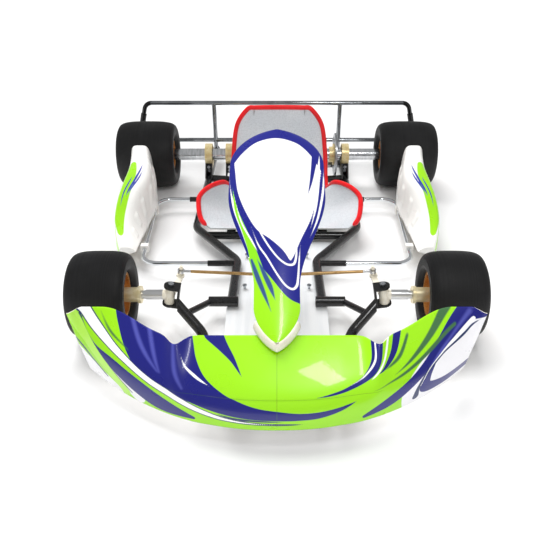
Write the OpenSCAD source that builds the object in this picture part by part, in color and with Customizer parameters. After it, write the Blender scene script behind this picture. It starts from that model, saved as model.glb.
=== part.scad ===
// Rolling chassis of a racing kart: tube frame, steering, brakes, wheels, seat and bodywork.
// The origin is on the ground, half way along and half way across. The nose points to -Y, up is +Z,
// and +X is the driver's left. Places inside the modules are counted back from the front axle line.

/* [Layout] */
// Distance between the front and the rear axle
wheelbase = 1045; // [1040:1:1050]
// Distance from the front axle line to the kart's middle
middle_back = 432; // [425:1:435]
// Height of the main tubes' centre line above the ground
rail_z = 52; // [50:1:54]

/* [Frame] */
// Outside diameter of the main tubes
tube_d = 30; // [28:1:30]
// Wall of every tube
tube_wall = 2; // [1.5:0.5:2.5]
// Half distance between the main rails at the seat
rail_x = 300; // [298:1:302]
// Outside diameter of the link tubes and bumper tubes
link_d = 20; // [18:1:20]
// Diameter of the side bars
side_bar_d = 16; // [15:0.5:16]

/* [Steering] */
// Half distance between the kingpins
kingpin_x = 314; // [312:1:316]
// Kingpin inclination, top towards the middle
kingpin_lean = 10; // [8:1:10]
// Distance from the kingpin back to the steering arm's ball joint
steer_arm = 120; // [118:1:122]
// Angle of the steering shaft above the horizontal
shaft_rise = 49; // [48.5:0.5:49.5]
// Distance from the steering shaft to the tie rod holes of its arm
drop_arm = 60; // [59:0.5:60.5]

/* [Front wheels] */
// Outside radius of the front tyre
front_tyre_r = 129; // [127:1:129]
// Width of the front tyre
front_tyre_w = 164; // [160:1:164]
// Outer edge of the front tyre from the kart's middle
front_outer_x = 592; // [590:1:594]

/* [Rear axle] */
// Outside radius of the rear tyre
rear_tyre_r = 139; // [139:1:141]
// Width of the rear tyre
rear_tyre_w = 236; // [230:1:236]
// Outer edge of the rear tyre from the kart's middle
rear_outer_x = 668; // [665:1:670]
// Diameter of the rear axle
axle_d = 50; // [48:1:50]
// Diameter of the brake disc
disc_d = 180; // [170:1:180]

/* [Bodywork] */
// Thickness of the plastic bodywork
skin_t = 3.5; // [3:0.5:4]
// Thickness of the seat shell
seat_t = 5; // [4:0.5:6]
// How far the seat sits towards the driver's left
seat_shift = 10; // [8:1:12]

/* [Hidden] */
$fn = 48;
front_z = front_tyre_r;
rear_z = rear_tyre_r;
// Radial clearance of the running fits
fit = 0.05;
// Distance between faces that stay apart
gap = 0.3;
// Keeps cut faces from lying exactly on others
eps = 0.01;
LEFT = 1;
RIGHT = -1;

// ---- helpers -------------------------------------------------------------------------------------

function unit(v) = v / norm(v);
function soft_step(a, b, x) = let (t = min(1, max(0, (x - a) / (b - a)))) t * t * (3 - 2 * t);
// Catmull-Rom value through a list of stations at position t from 0 to 1
function through(list, t) =
    let (n = len(list) - 1, p = min(t * n, n - eps), i = floor(p), f = p - i,
         a = list[max(i - 1, 0)], b = list[i], c = list[i + 1], d = list[min(i + 2, n)])
    0.5 * (2 * b + (c - a) * f + (2 * a - 5 * b + 4 * c - d) * f * f
           + (3 * b - a - 3 * c + d) * f * f * f);

// Everything is drawn from the front axle line and set back to the kart's middle here
module kart() { translate([0, -middle_back, 0]) children(); }

// Draws for the driver's left side, and mirrors it for the right side
module on_side(side) { mirror([side == LEFT ? 0 : 1, 0, 0]) children(); }

// Turns +Z to point from p to q, starting at p
module along(p, q) {
    v = q - p;
    translate(p) rotate([0, acos(v.z / norm(v)), atan2(v.y, v.x)]) children();
}

module rod(p, q, d) { along(p, q) cylinder(h = norm(q - p), d = d); }

module pipe(p, q, d, wall = tube_wall) {
    along(p, q) difference() {
        cylinder(h = norm(q - p), d = d);
        translate([0, 0, -1]) cylinder(h = norm(q - p) + 2, d = d - 2 * wall);
    }
}

leg_lap = 0.6;
bend_extra = 0.1;

function bend_angle(a, b, c) = acos(unit(b - a) * unit(c - b));
function bend_cut(a, b, c, r) = r * tan(bend_angle(a, b, c) / 2);

// One bend of a tube at corner b, on a circle of radius r that touches both legs
module bend(a, b, c, r, d, wall) {
    go = unit(b - a);
    axis = unit(cross(go, unit(c - b)));
    inward = cross(axis, go);
    start = b - go * bend_cut(a, b, c, r);
    centre = start + inward * r;
    multmatrix([[-inward.x, go.x, axis.x, centre.x], [-inward.y, go.y, axis.y, centre.y],
                [-inward.z, go.z, axis.z, centre.z], [0, 0, 0, 1]])
        rotate_extrude(angle = bend_angle(a, b, c), $fn = 96) translate([r, 0]) difference() {
            circle(d = d);
            if (wall > 0) circle(d = d - 2 * wall);
        }
}

// A bent tube through the points, with every corner rounded to radius r; wall 0 makes it solid.
// The straight legs run a little way into the bends, which are a hair thicker than the legs.
module bent_tube(points, r, d, wall = tube_wall) {
    n = len(points);
    for (i = [0 : n - 2]) {
        go = unit(points[i + 1] - points[i]);
        from = i == 0 ? points[0]
            : points[i] + go * (bend_cut(points[i - 1], points[i], points[i + 1], r) - leg_lap);
        to = i == n - 2 ? points[n - 1]
            : points[i + 1] - go * (bend_cut(points[i], points[i + 1], points[i + 2], r) - leg_lap);
        if (wall > 0) pipe(from, to, d, wall);
        else rod(from, to, d);
    }
    for (i = [1 : n - 2]) bend(points[i - 1], points[i], points[i + 1], r, d + bend_extra, wall);
}

// The grid moved inwards by t along its own normals
function thicken(g, t) = let (m = len(g) - 1, l = len(g[0]) - 1) [
    for (i = [0 : m]) [
        for (j = [0 : l]) g[i][j] - t * unit(cross(g[min(i + 1, m)][j] - g[max(i - 1, 0)][j],
                                                   g[i][min(j + 1, l)] - g[i][max(j - 1, 0)]))
    ]
];

// A closed sheet between two grids of points, the outer one facing out along du x dv
module sheet(outer, inner) {
    m = len(outer) - 1;
    l = len(outer[0]) - 1;
    w = l + 1;
    k = (m + 1) * w;
    polyhedron(
        points = concat([for (row = outer) each row], [for (row = inner) each row]),
        faces = concat(
            [for (i = [0 : m - 1]) for (j = [0 : l - 1]) each [
                [i * w + j, i * w + j + 1, (i + 1) * w + j],
                [(i + 1) * w + j, i * w + j + 1, (i + 1) * w + j + 1],
                [k + i * w + j, k + (i + 1) * w + j, k + i * w + j + 1],
                [k + (i + 1) * w + j, k + (i + 1) * w + j + 1, k + i * w + j + 1]]],
            [for (i = [0 : m - 1]) each [
                [i * w, (i + 1) * w, k + i * w],
                [(i + 1) * w, k + (i + 1) * w, k + i * w],
                [(i + 1) * w + l, i * w + l, k + i * w + l],
                [(i + 1) * w + l, k + i * w + l, k + (i + 1) * w + l]]],
            [for (j = [0 : l - 1]) each [
                [j + 1, j, k + j],
                [j + 1, k + j, k + j + 1],
                [m * w + j, m * w + j + 1, k + m * w + j],
                [m * w + j + 1, k + m * w + j + 1, k + m * w + j]]]));
}

// A closed round bead of radius r along a list of points, with the given number of sides
module bead(points, r, sides) {
    n = len(points);
    ring = [for (i = [0 : n - 1])
        let (go = unit(points[min(i + 1, n - 1)] - points[max(i - 1, 0)]),
             side = unit(cross(go, abs(go.z) > 0.9 ? [0, 1, 0] : [0, 0, 1])), top = cross(side, go))
        for (s = [0 : sides - 1]) points[i] + r * (cos(s * 360 / sides) * side + sin(s * 360 / sides) * top)];
    polyhedron(
        points = ring,
        faces = concat(
            [for (i = [0 : n - 2]) for (s = [0 : sides - 1]) let (t = (s + 1) % sides) each [
                [i * sides + s, i * sides + t, (i + 1) * sides + s],
                [(i + 1) * sides + s, i * sides + t, (i + 1) * sides + t]]],
            [[for (s = [sides - 1 : -1 : 0]) s], [for (s = [0 : sides - 1]) (n - 1) * sides + s]]));
}

// ---- frame ---------------------------------------------------------------------------------------

rail_end_y = 1300;
link_y = 73;
sleeve_d = tube_d + 2;
side_socket_y = [296, 785];
rail_points = [
    [rail_x - 12, rail_end_y, rail_z], [rail_x, 545, rail_z], [134, 312, rail_z], [140, link_y, rail_z]
];
front_tube_points = [
    [kingpin_x - 8, -6, 118], [212, -88, rail_z], [176, -284, rail_z]
];
rear_cross_points = [
    [rail_x - 10, 990, rail_z], [205, 978, rail_z], [150, 892, rail_z], [-150, 892, rail_z],
    [-205, 978, rail_z], [-rail_x + 10, 990, rail_z]
];
hanger_x = [292, -292, -204];

module rail_shape(wall) { bent_tube(rail_points, 75, tube_d, wall); }

module frame_rail(side) {
    color("#1b1b1d") kart() on_side(side) difference() {
        rail_shape(tube_wall);
        rod([120, link_y, rail_z], [230, link_y, rail_z], sleeve_d + 2 * eps);
    }
}

module front_tube(side) {
    color("#1b1b1d") kart() on_side(side) difference() {
        bent_tube(front_tube_points, 60, tube_d);
        yoke_frame() translate([-28, -50, -60]) cube([82, 100, 120]);
    }
}

module front_cross_tube() {
    color("#1b1b1d") kart() difference() {
        pipe([-176, -284, rail_z], [176, -284, rail_z], tube_d);
        for (side = [LEFT, RIGHT]) on_side(side) bent_tube(front_tube_points, 60, tube_d + eps, 0);
    }
}

// Short thick sleeves on the rail ends, and the thin tubes from them to the front tubes
module front_links() {
    color("#1b1b1d") kart() for (side = [LEFT, RIGHT]) on_side(side) difference() {
        union() {
            pipe([120, link_y, rail_z], [211, link_y, rail_z], sleeve_d, 4);
            pipe([205, link_y, rail_z], [265, -40, rail_z + 37], link_d);
        }
        bent_tube(front_tube_points, 60, tube_d + eps, 0);
    }
}

module seat_cross_tube() {
    color("#1b1b1d") kart() difference() {
        pipe([-262, 488, rail_z], [262, 488, rail_z], tube_d - 2);
        for (side = [LEFT, RIGHT]) on_side(side) rail_shape(0);
    }
}

module rear_cross_tube() {
    color("#1b1b1d") kart() difference() {
        bent_tube(rear_cross_points, 40, tube_d);
        for (side = [LEFT, RIGHT]) on_side(side) rail_shape(0);
    }
}

// ---- front steering ------------------------------------------------------------------------------

spindle_d = 25;
barrel_h = 54;
barrel_d = 30;
kingpin_d = 10;
yoke_plate = 6;
yoke_y = 40;

// Local frame on the left kingpin: +Z up the leaning kingpin, +X outwards
module yoke_frame() { translate([kingpin_x, 0, front_z]) rotate([0, -kingpin_lean, 0]) children(); }

module kingpin_yoke(side) {
    color("#161617") kart() on_side(side) yoke_frame() difference() {
        union() {
            translate([-28, -yoke_y / 2, -barrel_h / 2 - gap - yoke_plate])
                cube([yoke_plate, yoke_y, barrel_h + 2 * gap + 2 * yoke_plate]);
            for (z = [-barrel_h / 2 - gap - yoke_plate, barrel_h / 2 + gap]) {
                translate([-24, -yoke_y / 2, z]) cube([24, yoke_y, yoke_plate]);
                translate([0, 0, z]) cylinder(h = yoke_plate, d = yoke_y);
            }
        }
        translate([0, 0, -60]) cylinder(h = 120, d = kingpin_d);
    }
}

module kingpin_bolts() {
    head = barrel_h / 2 + gap + yoke_plate;
    color("#c9ccd0") kart() for (side = [LEFT, RIGHT]) on_side(side) yoke_frame() {
        translate([0, 0, -head - 12]) cylinder(h = 2 * head + 12, d = kingpin_d);
        translate([0, 0, head]) cylinder(h = 7, d = 17);
        translate([0, 0, -head - 10]) cylinder(h = 9, d = 19, $fn = 6);
        translate([0, 0, -head - 1.5]) cylinder(h = 1.5, d = 20);
    }
}

hub_start_x = 396;
arm_ball = [297, steer_arm, 134];
// Direction of the arm's bolt, which is also the tie rod's own pivot axis
ball_axis = unit([-sin(kingpin_lean), 0, cos(kingpin_lean)]);
stub_end_x = front_outer_x - 38;

// Barrel on the kingpin, spindle for the wheel and steering arm with its upright bolt
module stub_axle(side) {
    arm_low = arm_ball - ball_axis * 20;
    color("#e7e2d2") kart() on_side(side) {
        difference() {
            union() {
                yoke_frame() translate([0, 0, -barrel_h / 2]) cylinder(h = barrel_h, d = barrel_d);
                rod([kingpin_x, 0, front_z], [stub_end_x, 0, front_z], spindle_d);
                rod([kingpin_x + 8, 0, front_z], [hub_start_x - 12, 0, front_z], spindle_d + 5);
                steering_arm(arm_low);
            }
            yoke_frame() translate([0, 0, -40]) cylinder(h = 80, d = kingpin_d + 2 * fit);
        }
        rod(arm_low - ball_axis * 4, arm_ball + ball_axis * 18, 8);
        rod(arm_low + ball_axis * 7, arm_ball - ball_axis * 5.3, 14);
        rod(arm_ball + ball_axis * 7, arm_ball + ball_axis * 14, 14);
        rod([stub_end_x - 10, 0, front_z], [stub_end_x, 0, front_z], 36);
    }
}

module steering_arm(arm_low) {
    yoke_frame() translate([-2, 0, -16]) rotate([0, 0, 97]) translate([8, -9, 0]) cube([104, 18, 8]);
    rod(arm_low, arm_low + ball_axis * 8, 26);
}

// ---- wheels --------------------------------------------------------------------------------------

bead_r = 66;
rim_wall = 4;

// Cross-section of a slick tyre, with round shoulders; x is the radius, y is along the axle. The
// flats stop a hair short of the shoulders' highest points.
module tyre_section(r, w, shoulder, inner) {
    translate([inner, fit - w / 2]) square([r - shoulder - inner, w - 2 * fit]);
    translate([inner, shoulder - w / 2]) square([r - inner - fit, w - 2 * shoulder]);
    for (y = [-1, 1]) translate([r - shoulder, y * (w / 2 - shoulder)]) circle(r = shoulder);
}

module tyre_solid(r, w, shoulder) {
    rotate_extrude($fn = 96) difference() {
        tyre_section(r, w, shoulder, bead_r);
        tyre_section(r - 9, w - 18, shoulder - 8, bead_r - 1);
    }
}

// A one-piece rim: barrel, two flanges and a drilled web at height web_y along the axle
module rim_solid(w, web_y, hub_r, bolt_pcd) {
    difference() {
        rotate_extrude($fn = 96) {
            translate([bead_r - gap - rim_wall, -w / 2]) square([rim_wall, w]);
            for (y = [-w / 2, w / 2 - 4]) translate([bead_r - 6, y]) square([12, 4]);
            translate([hub_r + fit, web_y]) square([bead_r - rim_wall - hub_r, 7]);
        }
        for (a = [0 : 120 : 240]) {
            rotate(a) translate([bolt_pcd / 2, 0, web_y - 1]) cylinder(h = 10, d = 8.4);
            rotate(a + 60) translate([44, 0, web_y - 1]) cylinder(h = 10, d = 18);
        }
    }
}

// Wheel parts are turned about +Z, then laid on the axle with +Z pointing outwards
module at_wheel(side, x, y, z) { kart() on_side(side) translate([x, y, z]) rotate([0, 90, 0]) children(); }

front_mid_x = front_outer_x - front_tyre_w / 2;
rear_mid_x = rear_outer_x - rear_tyre_w / 2;
front_rim_w = front_tyre_w - 34;
rear_rim_w = rear_tyre_w - 34;
front_web = 12;
rear_web = -20;

module front_tyre(side) {
    color("#202020") at_wheel(side, front_mid_x, 0, front_z) tyre_solid(front_tyre_r, front_tyre_w, 30);
}

module rear_tyre(side) {
    color("#202020") at_wheel(side, rear_mid_x, wheelbase, rear_z) tyre_solid(rear_tyre_r, rear_tyre_w, 34);
}

module front_rim(side) {
    color("#b5813f") at_wheel(side, front_mid_x, 0, front_z) rim_solid(front_rim_w, front_web, 26, 74);
}

module rear_rim(side) {
    color("#b5813f") at_wheel(side, rear_mid_x, wheelbase, rear_z) rim_solid(rear_rim_w, rear_web, 38, 92);
}

// Hub that spins on the spindle, with a flange bolted to the rim's web
module front_hub(side) {
    length = stub_end_x - 10 - gap - hub_start_x;
    flange = front_mid_x + front_web - hub_start_x;
    color("#e3d29c") at_wheel(side, hub_start_x, 0, front_z) {
        difference() {
            union() {
                cylinder(h = length, d = 44);
                cylinder(h = 10, d = 52);
                translate([0, 0, flange - 9 - gap]) cylinder(h = 9, d = 96);
                translate([0, 0, flange - gap - 1]) cylinder(h = 8, d = 52);
            }
            translate([0, 0, -1]) cylinder(h = length + 2, d = spindle_d + 2 * fit);
            for (a = [0 : 120 : 240]) rotate(a) translate([37, 0, flange - 12]) cylinder(h = 14, d = 8);
        }
        for (a = [0 : 120 : 240]) rotate(a) translate([37, 0, flange - 14]) {
            cylinder(h = 30, d = 8);
            cylinder(h = 4, d = 13);
            translate([0, 0, 21 + gap]) cylinder(h = 6, d = 14, $fn = 6);
        }
    }
}

// ---- rear axle -----------------------------------------------------------------------------------

axle_half = 560;
rear_hub_start = rear_mid_x + rear_web - 70;

module rear_axle() {
    color("#d9dcdf") kart() translate([0, wheelbase, rear_z]) rotate([0, 90, 0]) difference() {
        translate([0, 0, -axle_half]) cylinder(h = 2 * axle_half, d = axle_d);
        translate([0, 0, -axle_half - 1]) cylinder(h = 2 * axle_half + 2, d = axle_d - 6);
        for (side = [LEFT, RIGHT]) for (x = [330 : 40 : 490])
            translate([0, 0, side * x]) rotate([0, 90, 0]) cylinder(h = axle_d, d = 8);
    }
}

module rear_hub(side) {
    color("#c08a45") at_wheel(side, rear_hub_start, wheelbase, rear_z) {
        difference() {
            union() {
                cylinder(h = 100, d = 68);
                cylinder(h = 14, d = 76);
                translate([0, 0, 61 - gap]) cylinder(h = 9, d = 118);
                translate([0, 0, 60]) cylinder(h = 17, d = 76);
            }
            translate([0, 0, -1]) cylinder(h = 102, d = axle_d);
            for (a = [0 : 120 : 240]) rotate(a) translate([46, 0, 58]) cylinder(h = 14, d = 8);
        }
        for (a = [0 : 120 : 240]) rotate(a) translate([46, 0, 56]) {
            cylinder(h = 30, d = 8);
            cylinder(h = 4, d = 13);
            translate([0, 0, 21 + gap]) cylinder(h = 7, d = 14, $fn = 6);
        }
    }
}

disc_x = 250;
disc_t = 8;
pad_gap = 0.6;

module brake_disc() {
    color("#b9bcc0") kart()
        translate([disc_x - disc_t / 2, wheelbase, rear_z]) rotate([0, 90, 0]) difference() {
            cylinder(h = disc_t, d = disc_d, $fn = 96);
            translate([0, 0, -1]) cylinder(h = disc_t + 2, d = 78);
            for (a = [0 : 30 : 330]) rotate(a) for (r = [50, 62, 74])
                rotate(r) translate([r, 0, -1]) cylinder(h = disc_t + 2, d = 8);
        }
}

module disc_carrier() {
    color("#d9bf78") kart() translate([disc_x - 26, wheelbase, rear_z]) rotate([0, 90, 0]) difference() {
        union() {
            cylinder(h = 26 + disc_t / 2, d = 66);
            translate([0, 0, 26 - disc_t / 2]) cylinder(h = disc_t, d = 78);
            translate([0, 0, 26 - disc_t / 2 - 6]) cylinder(h = 6, d = 90);
        }
        translate([0, 0, -1]) cylinder(h = 60, d = axle_d);
    }
}

carrier_w = 30;
carrier_d = 92;
bearing_d = 80;

module on_hangers() { kart() for (x = hanger_x) translate([x, wheelbase, rear_z]) children(); }

module bearing_carriers() {
    color("#dcc27c") on_hangers() rotate([0, 90, 0]) difference() {
        union() {
            translate([0, 0, -carrier_w / 2]) cylinder(h = carrier_w, d = carrier_d);
            translate([carrier_d / 2 - 14, -34, -carrier_w / 2]) cube([18, 68, carrier_w]);
        }
        translate([0, 0, -carrier_w / 2 - 1]) cylinder(h = carrier_w + 2, d = bearing_d);
    }
}

module axle_bearings() {
    color("#8f9296") on_hangers() rotate([0, 90, 0]) difference() {
        translate([0, 0, -9]) cylinder(h = 18, d = bearing_d);
        translate([0, 0, -10]) cylinder(h = 20, d = axle_d + 2 * fit);
    }
}

// Two cheek plates on each rail or cross tube, tied by a front and a rear plate, with a saddle on top
module bearing_hangers() {
    low = rail_z + tube_d / 2 - 6 - rear_z;
    high = -carrier_d / 2 - 4.1;
    color("#161617") kart() difference() {
        for (x = hanger_x) translate([x, wheelbase, rear_z]) {
            for (side = [-1, 1]) translate([side * 12 - 3, 0, 0]) rotate([90, 0, 90]) linear_extrude(6)
                polygon([[-80, low], [40.1, low], [40.1, high + 24], [34.1, high + 24], [34.1, high],
                         [-34.1, high], [-34.1, high + 24], [-40.1, high + 24]]);
            translate([-15, -40.1, high - 18]) cube([30, 6, 42]);
            translate([-15, 34.1, high - 18]) cube([30, 6, 42]);
        }
        on_hangers_hole() cylinder(h = 200, d = carrier_d + 2 * eps, center = true);
        for (side = [LEFT, RIGHT]) on_side(side) rail_shape(0);
        bent_tube(rear_cross_points, 40, tube_d + eps, 0);
        for (x = hanger_x) for (z = bolt_heights) translate([x, wheelbase, rear_z + z])
            rotate([90, 0, 0]) cylinder(h = 100, d = 8, center = true);
    }
}

bolt_heights = [-56, -40];

module on_hangers_hole() {
    for (x = hanger_x) translate([x, wheelbase, rear_z]) rotate([0, 90, 0]) children();
}

module hanger_bolts() {
    color("#c9ccd0") on_hangers() for (z = bolt_heights) for (turn = [0, 180])
        rotate([0, 0, turn]) translate([0, -34, z]) rotate([90, 0, 0]) {
            cylinder(h = 8, d = 8);
            translate([0, 0, 6.1]) cylinder(h = 5, d = 13);
        }
}

// ---- side bars and pods --------------------------------------------------------------------------

socket_d = 20;
pod_clamp_y = [400, 690];

function bar_x(y) = 462 + 20 * (y - side_socket_y[0]) / (side_socket_y[1] - side_socket_y[0]);

module side_bar_sockets() {
    color("#161617") kart() for (side = [LEFT, RIGHT]) on_side(side) {
        difference() {
            union() {
                rod([140, side_socket_y[0], rail_z], [235, side_socket_y[0], rail_z], socket_d);
                rod([rail_x, side_socket_y[1], rail_z], [352, side_socket_y[1], rail_z], socket_d);
            }
            rod([172, side_socket_y[0], rail_z], [240, side_socket_y[0], rail_z], side_bar_d + 2 * fit);
            rod([314, side_socket_y[1], rail_z], [360, side_socket_y[1], rail_z], side_bar_d + 2 * fit);
            rail_shape(0);
        }
        for (y = pod_clamp_y) difference() {
            translate([bar_x(y) - 13, y - 11, rail_z - 13]) cube([27, 22, 26]);
            rod([bar_x(y - 20), y - 20, rail_z], [bar_x(y + 20), y + 20, rail_z], side_bar_d + 2 * fit);
        }
    }
}

module side_bar(side) {
    y = side_socket_y;
    color("#d5d8db") kart() on_side(side)
        bent_tube([[174, y[0], rail_z], [462, y[0], rail_z], [482, y[1], rail_z], [316, y[1], rail_z]],
                  60, side_bar_d, 0);
}

// Stations along the pod from the front: place back, inner foot, outer foot, inner crest, outer crest,
// height of the outer foot, height of the crest
pod_stations = [
    [345, 486, 550, 505, 540, 46, 84], [425, 482, 574, 522, 570, 44, 98],
    [500, 476, 590, 526, 588, 42, 134], [570, 472, 596, 506, 586, 42, 178],
    [640, 466, 596, 476, 576, 44, 212], [710, 468, 590, 476, 566, 48, 236],
    [790, 482, 588, 492, 572, 54, 247], [872, 498, 590, 510, 586, 62, 250]
];
pod_inner_z = 68;
POD_SIDES = 14;
POD_RINGS = 18;

// Pod skin: an arch from the inner foot over the flat crest to the outer foot, at every station
function pod_point(u, t) = let (
        s = through(pod_stations, t), a = 180 * u,
        across = sign(cos(a)) * pow(abs(cos(a)), 0.45), rise = pow(max(sin(a), 0), 0.25),
        foot = (s[1] + s[2]) / 2 - across * (s[2] - s[1]) / 2,
        crest = (s[3] + s[4]) / 2 - across * (s[4] - s[3]) / 2,
        low = s[5] + (pod_inner_z - s[5]) * (1 + across) / 2)
    [foot + (crest - foot) * rise, s[0], low + (s[6] - low) * rise];

module side_pod(side) {
    skin = [for (i = [0 : POD_SIDES]) [for (j = [0 : POD_RINGS]) pod_point(i / POD_SIDES, j / POD_RINGS)]];
    color("#f2efe6") kart() on_side(side) sheet(skin, thicken(skin, skin_t));
}

// ---- floor and seat ------------------------------------------------------------------------------

tray_z = rail_z - sleeve_d / 2 - 2.7;
tray_t = 2.5;
stud_y = [-180, 168, 360];

module floor_tray() {
    edge = [[150, -292], [156, 60], [136, 140], [136, 318], [236, 468]];
    color("#dfe2e5") kart() translate([0, 0, tray_z]) linear_extrude(tray_t)
        polygon(concat(edge, [for (i = [len(edge) - 1 : -1 : 0]) [-edge[i].x, edge[i].y]]));
}

// Small upright studs with round heads that clamp the tray against the tubes
module tray_studs() {
    color("#c9ccd0") kart() for (side = [LEFT, RIGHT]) for (y = stud_y) on_side(side) {
        x = y < 0 ? 140 : 104;
        translate([x, y, tray_z + tray_t]) cylinder(h = 17, d = 8);
        translate([x, y, tray_z - 2]) cylinder(h = 2, d = 14);
        translate([x, y, tray_z + tray_t + 12]) cylinder(h = 3, d = 14);
    }
}

// Stations from the front lip to the top of the back:
// middle back, middle height, rim back, rim height, rim half width
seat_stations = [
    [478, 88, 476, 88, 250], [505, 74, 510, 104, 284], [560, 56, 560, 134, 298],
    [620, 46, 606, 156, 296], [680, 42, 650, 172, 262], [740, 44, 706, 164, 214],
    [792, 66, 770, 112, 190], [838, 112, 826, 134, 186], [880, 186, 880, 214, 184],
    [920, 282, 930, 310, 170], [944, 356, 950, 368, 128], [950, 376, 952, 374, 100]
];
SEAT_ACROSS = 16;
SEAT_ALONG = 26;

function seat_point(u, v) = let (s = through(seat_stations, v), h = pow(abs(u), 2.4))
    [seat_shift + s[4] * u, s[0] + (s[2] - s[0]) * h, s[1] + (s[3] - s[1]) * h];

// Bucket shell: every station is a bowl between the two rim points
module seat_shell() {
    pan = [for (i = [0 : SEAT_ACROSS]) [for (j = [0 : SEAT_ALONG])
        seat_point(2 * i / SEAT_ACROSS - 1, j / SEAT_ALONG)]];
    color("#d2d6da") kart() sheet(pan, thicken(pan, seat_t));
}

// Round bead along the rim, up one side, over the back and down the other
module seat_edge_trim() {
    up = [for (j = [1 : SEAT_ALONG]) seat_point(-1, j / SEAT_ALONG)];
    over = [for (i = [1 : 3]) seat_point(2 * i / 4 - 1, 1)];
    down = [for (j = [SEAT_ALONG : -1 : 1]) seat_point(1, j / SEAT_ALONG)];
    color("#e01b22") kart() bead(concat(up, over, down), 8, 8);
}

module seat_stays() {
    color("#161617") kart() difference() {
        for (side = [LEFT, RIGHT]) on_side(side) {
            rod([118, 890, rail_z + 8], [112, 880, 150], 12);
            translate([150, 484, rail_z + 10]) cube([32, 14, 9]);
        }
        for (side = [LEFT, RIGHT]) on_side(side) rail_shape(0);
        bent_tube(rear_cross_points, 40, tube_d + eps, 0);
        rod([-275, 488, rail_z], [275, 488, rail_z], tube_d - 2 + eps);
        seat_space();
    }
}

// The room that the seat shell takes, as a slab behind its back
module seat_space() { translate([-200, 700, 0]) cube([400, 158, 400]); }

// ---- front bodywork ------------------------------------------------------------------------------

nose_y = -470;
fairing_half = 532;
fairing_low = 62;
FAIRING_ACROSS = 44;
FAIRING_UP = 8;

// Front fairing, u from -1 to 1 across and v from 0 at the lower edge to 1 at the upper edge. The
// upper edge dips on both sides of the middle part.
function fairing_low_y(u) = nose_y + 224 * pow(abs(u), 2.2);
function fairing_high_y(u) = let (x = abs(u) * fairing_half)
    -297 + 89 * soft_step(250, 450, x) - 34 * exp(-pow((x - 248) / 24, 2)) - 30 * soft_step(500, 532, x);
function fairing_high_z(u) = 214 + 22 * soft_step(280, 450, abs(u) * fairing_half);
function fairing_point(u, v) = let (
        run = 0.3 * v * v * (1 - v) + v * v * v,
        rise = 1.35 * v * (1 - v) * (1 - v) + 1.65 * v * v * (1 - v) + v * v * v)
    [fairing_half * u * (1 - 0.064 * (1 - rise)),
     fairing_low_y(u) + (fairing_high_y(u) - fairing_low_y(u)) * run,
     fairing_low + (fairing_high_z(u) - fairing_low) * rise];

module front_fairing() {
    skin = [for (i = [0 : FAIRING_ACROSS]) [for (j = [0 : FAIRING_UP])
        fairing_point(2 * i / FAIRING_ACROSS - 1, j / FAIRING_UP)]];
    color("#a6ee00") kart() sheet(skin, thicken(skin, skin_t));
}

panel_low = [0, -338, 222];
panel_high = [0, 262, 536];
PANEL_ACROSS = 8;
PANEL_UP = 22;

// Half width of the panel at s, from 0 at its lower tip to 1 at its top
function panel_half(s) = (58 + 76 * soft_step(0.22, 0.66, s))
    * sqrt(max(0.004, 1 - pow(max(0, s - 0.82) / 0.18, 2)))
    * pow(max(0.01, 1 - pow(max(0, 0.14 - s) / 0.14, 1.7)), 0.8);
function panel_point(u, s) = let (up = unit(panel_high - panel_low), out = [0, -up.z, up.y])
    panel_low + (panel_high - panel_low) * s + [panel_half(s) * u, 0, 0]
    + out * (18 * sin(180 * s) - 26 * u * u * panel_half(s) / 134);

module front_panel() {
    skin = [for (i = [0 : PANEL_ACROSS]) [for (j = [0 : PANEL_UP])
        panel_point(2 * i / PANEL_ACROSS - 1, j / PANEL_UP)]];
    color("#1a2aa8") kart() sheet(skin, thicken(skin, skin_t));
}

// Lower and upper hoops that carry the fairing
module front_bumper() {
    color("#3a3c3f") kart() difference() {
        union() {
            bent_tube([[120, -284, 52], [120, -412, 70], [-120, -412, 70], [-120, -284, 52]], 40, link_d);
            bent_tube([[182, -262, rail_z], [182, -392, 128], [-182, -392, 128], [-182, -262, rail_z]],
                      40, link_d);
        }
        rod([-176, -284, rail_z], [176, -284, rail_z], tube_d + eps);
        for (side = [LEFT, RIGHT]) on_side(side) bent_tube(front_tube_points, 60, tube_d + eps, 0);
    }
}

// ---- steering shaft ------------------------------------------------------------------------------

shaft_d = 20;
shaft_up = [0, cos(shaft_rise), sin(shaft_rise)];
shaft_side = [0, sin(shaft_rise), -cos(shaft_rise)];
drop_ball_x = 18;
drop_ball_mid = [0, steer_arm, 120];
shaft_foot = drop_ball_mid - drop_arm * shaft_side;
eye_bore = 21;

// Local frame on the shaft: +Z up the shaft, +Y towards the drop arm's holes
module shaft_frame() {
    translate(shaft_foot) multmatrix([[-1, 0, 0, 0], [0, shaft_side.y, shaft_up.y, 0],
                                      [0, shaft_side.z, shaft_up.z, 0], [0, 0, 0, 1]]) children();
}

module steering_shaft() {
    color("#cfd2d6") kart() shaft_frame() difference() {
        union() {
            translate([0, 0, -66]) cylinder(h = 478, d = shaft_d);
            translate([0, 0, 296]) cylinder(h = 12, d = 30);
            translate([0, 0, 404]) cylinder(h = 8, d = 62);
            translate([-27, -12, -15]) cube([54, drop_arm + 24, 6]);
            for (x = [-1, 1]) translate([x * drop_ball_x, drop_arm, -18]) cylinder(h = 34, d = 8);
            for (x = [-1, 1]) translate([x * drop_ball_x, drop_arm, 9]) cylinder(h = 6, d = 13);
        }
        translate([0, 0, -70]) cylinder(h = 500, d = shaft_d - 5);
        for (a = [0 : 120 : 240]) rotate(a) translate([25, 0, 400]) cylinder(h = 20, d = 6.4);
    }
}

module shaft_bearing() {
    color("#eceae2") kart() shaft_frame() difference() {
        union() {
            translate([0, 0, 310]) cylinder(h = 24, d = 46);
            translate([0, 0, -62]) cylinder(h = 18, d = 40);
        }
        translate([0, 0, -80]) cylinder(h = 500, d = shaft_d + 2 * fit);
    }
}

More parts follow.
